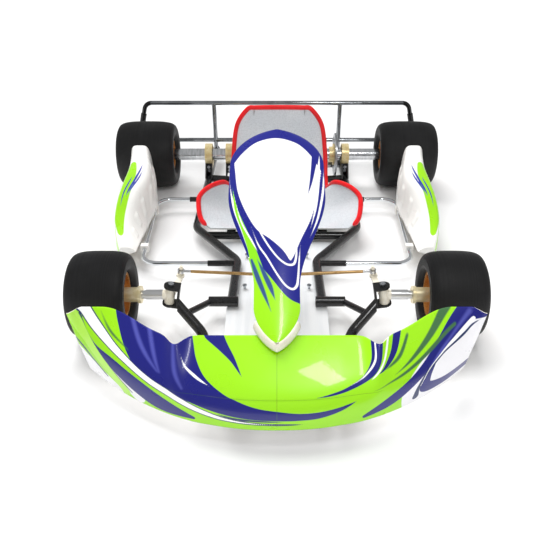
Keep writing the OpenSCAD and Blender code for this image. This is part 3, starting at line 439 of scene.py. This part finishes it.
# a fine seam where the mould halves meet in the middle, from just above the lower edge, and a painted
# shade line along a row of the grid by the crease, ending about half way to each side
seamUp = softStep(0.04, 0.06, vv) * 2 - 1
fields["seam"] = np.minimum(fairing["seamHalf"] - np.abs(uu) * fairing["half"], seamUp)
creaseRow = round(fairing["creaseUp"] * fairing["up"]) / fairing["up"]
creaseOut = (0.52 - np.abs(uu + 0.02)) * 20
creaseIn = fairing["creaseHalf"] - np.abs(vv - creaseRow) * fairing["skin"]
fields["creaseShadeLine"] = np.minimum(creaseIn, creaseOut)
fairingSkin = gridMesh("fairingSkin", fairingPoint(uu, vv), fields=fields)
thickness(fairingSkin, fairing["thick"] * mm, secondMaterial=True)
# the layer along the crease, last in the list, is painted shade in dark green
material["fairingFilm"] = paintedPlastic(
    "fairingFilm",
    "#99E000",
    [("whiteEnds", "#F3F2F6", 1.5), ("blue", "#050C74", 0.8), ("haze", "#4A4EA8", 5),
     ("darkLines", "#1B2F5E", 0.8), ("paleLime", "#B5EE55", 1.2), ("greenGrey", "#3C6B3E", 2.5),
     ("white", "#FAFAFA", 0.7), ("seam", "#3F6A10", 0.5), ("creaseShadeLine", "#35591A", 0.5)],
    paintLook,
)
dress(fairingSkin, "chassis", "fairing_lime", material["fairingFilm"], material["plainWhiteAbs"])
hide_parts("front_fairing")
print("fairing done")

# steering panel

# millimetres, but across and up are steps of the grid; the film's outline is a little wider than the panel
panel = dict(across=140, up=340, thick=3.5, skin=677.0, lowY=-338, lowZ=222, highY=262, highZ=536, narrow=58,
             widen=76, filmNarrow=70, filmWiden=66, bow=18, sideBack=26, edgeSlant=0.9)


def panelHalf(s):
    # half width in millimetres: narrow below, wide above, round at both ends
    ends = np.sqrt(np.maximum(0.004, 1 - (np.maximum(0, s - 0.82) / 0.18) ** 2))
    tip = np.maximum(0.01, 1 - (np.maximum(0, 0.14 - s) / 0.14) ** 1.7) ** 0.8
    return (panel["narrow"] + panel["widen"] * softStep(0.22, 0.66, s)) * ends * tip


def panelPoint(u, s):
    # a straight slope from the lower tip to the top, bowed forwards by bow * sin(pi * s), with its sides
    # turned back by sideBack * u^2 where it is widest
    rise = unit(np.array([panel["highY"] - panel["lowY"], panel["highZ"] - panel["lowZ"]], float))
    widest = panel["narrow"] + panel["widen"]
    off = panel["bow"] * np.sin(pi * s) - panel["sideBack"] * u**2 * panelHalf(s) / widest
    return kartPoint(
        panelHalf(s) * u,
        panel["lowY"] + (panel["highY"] - panel["lowY"]) * s - rise[1] * off,
        panel["lowZ"] + (panel["highZ"] - panel["lowZ"]) * s + rise[0] * off,
    )


def printHalf(s):
    # half width of the film's outline: a soft step from narrow to wide, without the round ends
    return panel["filmNarrow"] + panel["filmWiden"] * softStep(0.22, 0.66, s)


panelPaint = {
    "blue": [
        [(-0.97, 0.90, 6), (-0.93, 0.78, 9), (-0.85, 0.66, 9), (-0.73, 0.55, 10), (-0.62, 0.455, 17),
         (-0.42, 0.385, 33), (-0.2, 0.335, 41), (0.0, 0.292, 43), (0.3, 0.250, 53), (0.58, 0.228, 55),
         (0.76, 0.31, 27), (0.78, 0.42, 15), (0.83, 0.55, 9), (0.91, 0.72, 6), (0.97, 0.84, 4)],
        [(0.84, 0.90, 14), (0.78, 0.83, 8), (0.70, 0.72, 4), (0.62, 0.64, 0)],
        [(-1.02, 0.78, 3), (-0.96, 0.60, 6), (-0.90, 0.46, 5), (-0.86, 0.36, 4)],
        [(0.86, 0.30, 12), (0.86, 0.42, 9), (0.93, 0.56, 8), (0.98, 0.68, 5), (0.99, 0.80, 4)],
    ],
    "limeStripe": [
        [(-0.68, 0.30, 15), (-0.72, 0.38, 10), (-0.78, 0.47, 6.5), (-0.85, 0.58, 4), (-0.91, 0.70, 0)],
    ],
    "limeBlue": [
        [(-0.62, 0.34, 0), (-0.46, 0.28, 5), (-0.24, 0.22, 6), (-0.06, 0.165, 0)],
        [(-0.80, 0.34, 3), (-0.70, 0.27, 6), (-0.48, 0.20, 5), (-0.20, 0.12, 0)],
    ],
    "white": [
        [(-0.62, 0.51, 0), (-0.52, 0.405, 2), (-0.32, 0.345, 2.4), (0.0, 0.272, 2.4), (0.3, 0.227, 2.6),
         (0.55, 0.213, 3), (0.71, 0.228, 3.2), (0.75, 0.262, 2.8), (0.70, 0.34, 2), (0.63, 0.42, 0)],
        [(-0.56, 0.58, 0), (-0.44, 0.475, 2), (-0.26, 0.40, 2.4), (0.0, 0.345, 2.4), (0.25, 0.318, 2.6),
         (0.44, 0.312, 3), (0.57, 0.322, 3), (0.585, 0.36, 2.4), (0.53, 0.425, 0)],
        [(-0.88, 0.66, 0), (-0.80, 0.52, 1.6), (-0.66, 0.42, 2), (-0.56, 0.37, 0)],
        [(0.90, 0.88, 0), (0.87, 0.80, 3.5), (0.83, 0.70, 5), (0.80, 0.58, 3), (0.79, 0.48, 0)],
        [(0.84, 0.44, 0), (0.89, 0.54, 2.6), (0.94, 0.68, 3), (0.97, 0.80, 0)],
    ],
}
uu, ss = stepGrid(panel["across"], panel["up"])
flat = np.stack([uu * panelHalf(ss), ss * panel["skin"]], axis=-1)
fields = {
    key: strokes(flat, lambda a, b: a * printHalf(b), panel["skin"], rows) for key, rows in panelPaint.items()
}
# the lime's upper and the blue's lower edge, as shares of the height at even steps across
across = np.clip(flat[..., 0] / printHalf(ss), -1, 1) / 2 + 0.5
limeEdge = through([0.35, 0.345, 0.30, 0.262, 0.225, 0.192, 0.170, 0.160, 0.155], across)[..., 0]
fields["limeLow"] = (limeEdge - ss) * panel["skin"] * panel["edgeSlant"]
blueEdge = through([0.80, 0.87, 0.92, 0.94, 0.945, 0.935, 0.91, 0.85, 0.76], across)[..., 0]
fields["blueTop"] = (ss - blueEdge) * panel["skin"] * panel["edgeSlant"]
panelSkin = gridMesh("panelSkin", panelPoint(uu, ss), fields=fields)
thickness(panelSkin, panel["thick"] * mm, secondMaterial=True)
material["panelFilm"] = paintedPlastic(
    "panelFilm",
    "#FAFAFA",
    [("blue", "#040F80", 0.8), ("blueTop", "#040F80", 0.8), ("limeLow", "#99E000", 0.8),
     ("limeStripe", "#88DC08", 0.8), ("limeBlue", "#2C4F86", 2.0), ("white", "#FAFAFA", 0.7)],
    paintLook,
)
dress(panelSkin, "chassis", "panel_blue", material["panelFilm"], material["plainWhiteAbs"])
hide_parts("front_panel")

# a white lip round the lower tip: the panel's edge moved out and down, from one side over the tip to the
# other; reach is a share of the panel's height, the rest are millimetres
lip = dict(steps=81, reach=0.09, out=7, drop=18, under=2, thick=2.5)
side = np.linspace(-1, 1, lip["steps"])
edgeS = lip["reach"] * np.abs(side) ** 1.6
edge = panelPoint(np.sign(side) * np.minimum(1, 40 * np.abs(side)), edgeS)
outward = unit(np.stack([side * 0.9, -(1 - side**2) ** 0.5 - 0.05, 0 * side], axis=-1))
fade = np.linspace(0, 1, 9)[None, :, None]
skirt = edge[:, None] + outward[:, None] * lip["out"] * mm * np.sin(fade * pi / 2)
skirt = skirt - np.array([0, 0, lip["drop"] * mm]) * (1 - np.cos(fade * pi / 2))
skirt = skirt - np.array([0, 0, lip["under"] * mm])
lipSkin = gridMesh("panelLip", skirt)
thickness(lipSkin, lip["thick"] * mm)
dress(lipSkin, "chassis", "pod_white", material["plainWhiteAbs"])
print("panel done")

# side pods

# millimetres, but across and along are steps of the grid; rear and front are the shares that round down
pod = dict(across=130, along=200, thick=3.5, innerFoot=68, rib=5.5, ribCount=8.0, ribSlant=0.7, rear=0.022,
           front=0.03, wide=360, long=560, endCrowd=0.054, squareAcross=0.45, squareUp=0.25, evenAt=0.6)
# rows from the front: back, inner foot, outer foot, inner crest, outer crest, the outer foot's height and
# the crest's height
podRows = [
    (345, 486, 550, 505, 540, 46, 84), (425, 482, 574, 522, 570, 44, 98),
    (500, 476, 590, 526, 588, 42, 134), (570, 472, 596, 506, 586, 42, 178),
    (640, 466, 596, 476, 576, 44, 212), (710, 468, 590, 476, 566, 48, 236),
    (790, 482, 588, 492, 572, 54, 247), (872, 498, 590, 510, 586, 62, 250),
]


def podPoint(u, t):
    # an arch at every station, from the inner foot over the flat crest to the outer foot; both ends
    # round down to the feet, and ribs stand out of the inner wall
    row = through(podRows, t)
    a = pi * u
    across = np.sign(np.cos(a)) * np.abs(np.cos(a)) ** pod["squareAcross"]
    rise = np.maximum(np.sin(a), 0) ** pod["squareUp"]
    rise = rise * np.maximum(0, 1 - (np.maximum(0, t - 1 + pod["rear"]) / pod["rear"]) ** 3) ** (1 / 3)
    rise = rise * np.maximum(0, 1 - (np.maximum(0, pod["front"] - t) / pod["front"]) ** 3) ** (1 / 3)
    foot = (row[..., 1] + row[..., 2]) / 2 - across * (row[..., 2] - row[..., 1]) / 2
    crest = (row[..., 3] + row[..., 4]) / 2 - across * (row[..., 4] - row[..., 3]) / 2
    low = row[..., 5] + (pod["innerFoot"] - row[..., 5]) * (1 + across) / 2
    inner = softStep(0.0, 0.01, u) * (1 - softStep(0.08, 0.14, u))
    ribs = softStep(0.3, 0.7, np.cos(2 * pi * (t * pod["ribCount"] - rise * pod["ribSlant"])))
    ribs = ribs * softStep(0.1, 0.2, t) * (1 - softStep(0.8, 0.9, t))
    x = foot + (crest - foot) * rise - pod["rib"] * inner * ribs
    return x, row[..., 0], low + (row[..., 6] - low) * rise


# every stroke is a row of (round the arch from the inner foot, back, half width in millimetres)
podPaint = {
    "lime": [
        [(0.540, 0.72, 14), (0.545, 0.64, 23), (0.548, 0.54, 30), (0.540, 0.42, 35), (0.52, 0.29, 34),
         (0.50, 0.16, 22)],
        [(0.78, 0.52, 22), (0.76, 0.38, 48), (0.76, 0.22, 56), (0.82, 0.05, 48)],
    ],
    "blue": [
        [(0.43, 0.735, 0), (0.445, 0.66, 2.5), (0.462, 0.58, 3.5), (0.475, 0.48, 3.5), (0.48, 0.40, 0)],
        [(0.42, 0.66, 0), (0.435, 0.58, 2.5), (0.452, 0.50, 3), (0.462, 0.42, 0)],
        [(0.50, 0.61, 0), (0.512, 0.52, 2.5), (0.52, 0.42, 2.5), (0.51, 0.32, 0)],
    ],
    "edge": [
        [(0.575, 0.62, 0.8), (0.60, 0.50, 1.4), (0.605, 0.36, 1.4), (0.58, 0.24, 0.8)],
    ],
}
material["podFilm"] = paintedPlastic(
    "podFilm",
    "#F8F7F3",
    [("lime", "#9CE208", 1.5), ("blue", "#2B3AA6", 0.9), ("edge", "#4E7420", 0.8)],
    paintLook,
)
# places round the arch at equal steps of its length, measured on one section
fineU = np.linspace(0, 1, 2001)
archX, _, archZ = podPoint(fineU, np.full(len(fineU), pod["evenAt"]))
walked = np.concatenate([[0], np.cumsum(np.hypot(np.diff(archX), np.diff(archZ)))])
evenU = np.interp(np.linspace(0, 1, pod["across"] + 1), walked / walked[-1], fineU)
ww, tt = stepGrid(pod["across"], pod["along"], low=0)
uu = evenU[:, None] + 0 * tt
# rows lie closer together at both ends, where the skin turns down
tt = tt - pod["endCrowd"] * np.sin(2 * pi * tt)
podX, podY, podZ = podPoint(uu, tt)
flat = np.stack([ww * pod["wide"], tt * pod["long"]], axis=-1)
fields = {
    key: strokes(flat, lambda a, b: a * pod["wide"], pod["long"], rows) for key, rows in podPaint.items()
}
sides = (("left", 1), ("right", -1))
for sideName, side in sides:
    skin = kartPoint(side * podX, podY, podZ)
    shell = gridMesh(f"podSkin_{sideName}", skin, flip=side < 0, fields=fields)
    thickness(shell, pod["thick"] * mm, secondMaterial=True)
    dress(shell, "chassis", "pod_white", material["podFilm"], material["plainWhiteAbs"])
    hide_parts(f"side_pod_{sideName}")
print("pods done")

# seat

# millimetres, but the first four are steps; trimFrom is the share of the rim that the trim leaves bare
seat = dict(across=72, along=150, rimSteps=110, topSteps=40, thick=5, shift=10, bead=9, trimFrom=0.04,
            bowl=2.4)
# rows from the front lip: middle back, middle height, rim back, rim height, rim half width
seatRows = [
    (478, 88, 476, 88, 250), (505, 74, 510, 104, 284), (560, 56, 560, 134, 298), (620, 46, 606, 156, 296),
    (680, 42, 650, 172, 262), (740, 44, 706, 164, 214), (792, 66, 770, 112, 190), (838, 112, 826, 134, 186),
    (880, 186, 880, 214, 184), (920, 282, 930, 310, 170), (944, 356, 950, 368, 128),
    (950, 376, 952, 374, 100),
]


def seatPoint(u, v):
    # every station is a bowl between its two rim points: middle + (rim - middle) * |u| ^ bowl
    row = through(seatRows, v)
    bowl = np.abs(u) ** seat["bowl"]
    return kartPoint(
        seat["shift"] + row[..., 4] * u,
        row[..., 0] + (row[..., 2] - row[..., 0]) * bowl,
        row[..., 1] + (row[..., 3] - row[..., 1]) * bowl,
    )


uu, vv = stepGrid(seat["across"], seat["along"])
bucket = gridMesh("seatShell", seatPoint(uu, vv))
thickness(bucket, seat["thick"] * mm, secondMaterial=True)
dress(bucket, "chassis", "seat_silver", material["silverGelCoat"], material["rawGlassFibre"])
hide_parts("seat_shell")

# the trim runs up one side, over the top and down the other, and thins to nothing at both ends
rimUp = np.linspace(seat["trimFrom"], 1, seat["rimSteps"])
rimDown = np.linspace(1, seat["trimFrom"], seat["rimSteps"])
up = seatPoint(np.full(seat["rimSteps"], -1.0), rimUp)
over = seatPoint(np.linspace(-1, 1, seat["topSteps"])[1:-1], np.ones(seat["topSteps"] - 2))
down = seatPoint(np.full(seat["rimSteps"], 1.0), rimDown)
rim = np.concatenate([up, over, down])
ends = np.minimum(np.arange(len(rim)), np.arange(len(rim))[::-1])
trim = sweep("seatTrim", rim, seat["bead"] * mm * np.sqrt(np.minimum(1, ends / 3)), sides=20)
dress(trim, "chassis", "trim_red", material["redEdgeTrim"])
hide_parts("seat_edge_trim")
print("seat done")

# tyres

# millimetres, but around and section are steps; a tyre stands on the ground, so its middle is a radius high
tyres = dict(around=180, section=96, beadR=66, crown=2.5, squareAcross=0.52, squareOut=0.50)
frontWheel = dict(midX=510, back=0, radius=129, width=164)
rearWheel = dict(midX=550, back=1045, radius=139, width=236)


def tyreSection(wheel):
    # a rounded rectangle by powers of cosine and sine, with a slightly crowned tread
    radius, width = wheel["radius"], wheel["width"]
    a = np.linspace(0, 2 * pi, tyres["section"], endpoint=False)
    c, s = np.cos(a), np.sin(a)
    middle, high = (radius + tyres["beadR"]) / 2, (radius - tyres["beadR"]) / 2
    across = np.sign(c) * np.abs(c) ** tyres["squareAcross"] * width / 2
    out = middle + high * np.sign(s) * np.abs(s) ** tyres["squareOut"]
    crown = tyres["crown"] * (2 * np.abs(across) / width) ** 2 * (s > 0)
    return across, out - crown * (np.abs(c) < 0.99)


def tyreMesh(name, side, wheel):
    # the section turned about the axle: back + out * sin(turn), height + out * cos(turn)
    across, out = tyreSection(wheel)
    turn = np.linspace(0, 2 * pi, tyres["around"], endpoint=False)
    x = side * wheel["midX"] + across[None, :] + 0 * turn[:, None]
    y = wheel["back"] + out[None, :] * np.sin(turn)[:, None]
    z = wheel["radius"] + out[None, :] * np.cos(turn)[:, None]
    fields = {
        "acrossMm": np.broadcast_to(across[None, :], x.shape),
        "radiusMm": np.broadcast_to(out[None, :], x.shape),
    }
    return gridMesh(name, kartPoint(x, y, z), loopA=True, loopB=True, fields=fields)


def tyreRubber():
    # soft slick compound: dull black, with faint lines that run round the tread and the side walls
    made, tree, shader, coords = startMaterial("slickRubber")
    across = addNode(tree, "ShaderNodeAttribute", {"attribute_name": "acrossMm"}).outputs["Fac"]
    radius = addNode(tree, "ShaderNodeAttribute", {"attribute_name": "radiusMm"}).outputs["Fac"]
    both = addNode(tree, "ShaderNodeCombineXYZ", None, {"X": across, "Y": radius}).outputs[0]
    lines = addNode(tree, "ShaderNodeTexNoise", None, {"Vector": both, "Scale": 0.55, "Detail": 4})
    grit = addNode(tree, "ShaderNodeTexNoise", None, {"Vector": coords, "Scale": 900.0, "Detail": 3})
    dust = addNode(tree, "ShaderNodeTexNoise", None, {"Vector": coords, "Scale": 14.0, "Detail": 5})
    shade = mixColour(tree, between(tree, dust.outputs[0], 0.4, 0.75), linear("#0D0D0E"), linear("#151516"))
    tree.links.new(shade, shader.inputs["Base Color"])
    rough = between(tree, lines.outputs[0], 0.3, 0.7, 0.52, 0.68)
    tree.links.new(rough, shader.inputs["Roughness"])
    fineRelief = {"Height": grit.outputs[0], "Strength": 0.3, "Distance": 0.3 * mm}
    first = addNode(tree, "ShaderNodeBump", None, fineRelief)
    lineRelief = {"Height": lines.outputs[0], "Strength": 0.25, "Distance": 0.6 * mm}
    lineRelief["Normal"] = first.outputs[0]
    second = addNode(tree, "ShaderNodeBump", None, lineRelief)
    tree.links.new(second.outputs[0], shader.inputs["Normal"])
    shader.inputs["Specular IOR Level"].default_value = 0.4
    return made


material["slickRubber"] = tyreRubber()
for end, wheel in (("front", frontWheel), ("rear", rearWheel)):
    for sideName, side in sides:
        slick = tyreMesh(f"{end}_slick_{sideName}", side, wheel)
        body = f"front_wheel_{sideName}" if end == "front" else "rear_axle_assembly"
        dress(slick, body, "tyre", material["slickRubber"])
        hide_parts(f"{end}_tyre_{sideName}")
print("tyres done")

# finishes on the remaining parts

finishOf = {
    "powderCoatGloss": "frame_rail front_tube front_cross_tube front_links seat_cross_tube rear_cross_tube "
    "shaft_supports pedal_pivots",
    "satinBlackCoat": "kingpin_yoke bearing_hangers seat_stays panel_bracket rear_bumper_fittings",
    "socketBlack": "side_bar_sockets",
    "satinGreyCoat": "front_bumper",
    "zincPlate": "kingpin_bolts hanger_bolts tray_studs steering_shaft brake_pedal throttle_pedal",
    "chromePlate": "side_bar",
    "bumperChrome": "rear_bumper_upper rear_bumper_lower rear_bumper_uprights",
    "ivoryEpoxy": "stub_axle",
    "paleGoldAnodised": "bearing_carriers disc_carrier",
    "champagneAnodised": "front_hub",
    "goldTube": "tie_rod",
    "bronzeAnodised": "rear_hub rear_rim front_rim",
    "groundSteel": "axle_bearings",
    "polishedAxleSteel": "rear_axle",
    "turnedDiscSteel": "brake_disc",
    "blastedAluminium": "brake_caliper",
    "brakeLining": "brake_pads",
    "rolledAluminium": "floor_tray",
    "whiteNylon": "shaft_bearing",
}
for finish, starts in finishOf.items():
    for start in starts.split():
        for node, made in cad.items():
            if node in (start, start + "_left", start + "_right"):
                made.data.materials.clear()
                made.data.materials.append(material[finish])
print("finishes done")

# studio

room = dict(floor="#F4F4F4", rough=0.6, size=14.0, sky=0.42)
floorEnds = np.array([-room["size"], room["size"]])
floorX, floorY = np.meshgrid(floorEnds, floorEnds, indexing="ij")
sheet = gridMesh("studioFloor", np.stack([floorX, floorY, 0 * floorX], axis=-1))
floorMade, _, floorShader, _ = startMaterial("studioFloor")
floorShader.inputs["Base Color"].default_value = linear(room["floor"])
floorShader.inputs["Roughness"].default_value = room["rough"]
sheet.data.materials.append(floorMade)

world = bpy.data.worlds.new("studio")
scene.world = world
world.use_nodes = True
sky = world.node_tree.nodes["Background"]
sky.inputs["Color"].default_value = (1, 1, 1, 1)
sky.inputs["Strength"].default_value = room["sky"]


def softBox(name, place, aim, size, power, mirrored=True):
    # a rectangular area light, turned so that its -Z runs from its place towards the aim
    data = bpy.data.lights.new(name, "AREA")
    data.shape = "RECTANGLE"
    data.size, data.size_y = size
    data.energy = power
    made = bpy.data.objects.new(name, data)
    scene.collection.objects.link(made)
    made.location = place
    made.rotation_euler = (Vector(aim) - Vector(place)).to_track_quat("-Z", "Y").to_euler()
    made.visible_glossy = mirrored


# a very wide sun from above and behind whitens the floor and leaves the front faces their deep colours
sun = dict(power=3.3, spread=50, way=(0.25, -0.55, -0.8))
backLight = bpy.data.lights.new("backLight", "SUN")
backLight.energy = sun["power"]
backLight.angle = radians(sun["spread"])
backSun = bpy.data.objects.new("backLight", backLight)
scene.collection.objects.link(backSun)
backSun.rotation_euler = Vector(sun["way"]).to_track_quat("-Z", "Y").to_euler()
backSun.visible_glossy = False
softBox("frontKey", (0.5, -1.3, 2.5), (0.15, -0.8, 0.2), (0.24, 0.8), 12)
softBox("frontFill", (0.0, -3.6, 2.6), (0, 0, 0.2), (3.2, 2.0), 45, mirrored=False)

# place in metres; down is how far the camera looks below the horizon, in degrees
view = dict(lens=40.18, sensor=36, shiftX=0.0055, place=(0, -1.938, 1.179), down=33.55)
lens = bpy.data.cameras.new("camera")
lens.lens = view["lens"]
lens.sensor_width = view["sensor"]
lens.shift_x = view["shiftX"]
camera = bpy.data.objects.new("camera", lens)
scene.collection.objects.link(camera)
camera.location = view["place"]
camera.rotation_euler = (radians(90 - view["down"]), 0, 0)
scene.camera = camera
scene.view_settings.view_transform = "Standard"
